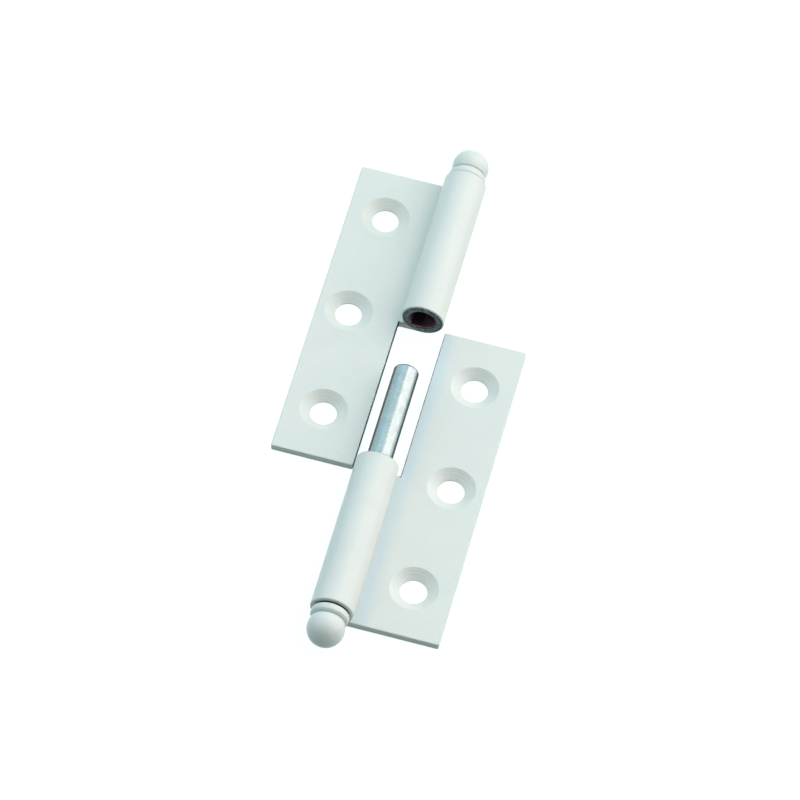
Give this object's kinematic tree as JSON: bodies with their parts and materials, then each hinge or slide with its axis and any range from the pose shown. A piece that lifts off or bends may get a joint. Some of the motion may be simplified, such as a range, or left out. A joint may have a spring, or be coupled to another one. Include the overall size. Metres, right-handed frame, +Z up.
{
  "type": "lift-off hinge",
  "caption": "Lift-off hinge of white painted steel with rolled knuckles, countersunk leaves, ball finials and a plain pin, lying with its halves drawn apart.",
  "frame": {"origin": "foot of the hinge axis on the plane of the leaves' backs, halfway along the drawn-apart length", "axes": "+Y along the hinge axis, the way the door half lifts off; +X across towards the frame leaf; +Z up from the leaves' backs"},
  "size_m": [0.049, 0.1372, 0.0098],
  "materials": {
    "white_coat": "semi-gloss white powder coat",
    "zinc": "bright zinc plating with fine drawing lines"
  },
  "bodies": {
    "frame_half": {"frame_leaf": "white_coat", "lower_finial": "white_coat"},
    "pin": {"hinge_pin": "zinc"},
    "door_half": {"door_leaf": "white_coat", "upper_finial": "white_coat"}
  },
  "joints": [
    {"name": "swing", "type": "hinge", "parent": "frame_half", "child": "pin", "pos_m": [0, 0, 0.0049], "axis": [0, 1, 0], "range_deg": [-95, 193]},
    {"name": "lift", "type": "slide", "parent": "pin", "child": "door_half", "axis": [0, 1, 0], "range_m": [-0.0399, 0]}
  ]
}
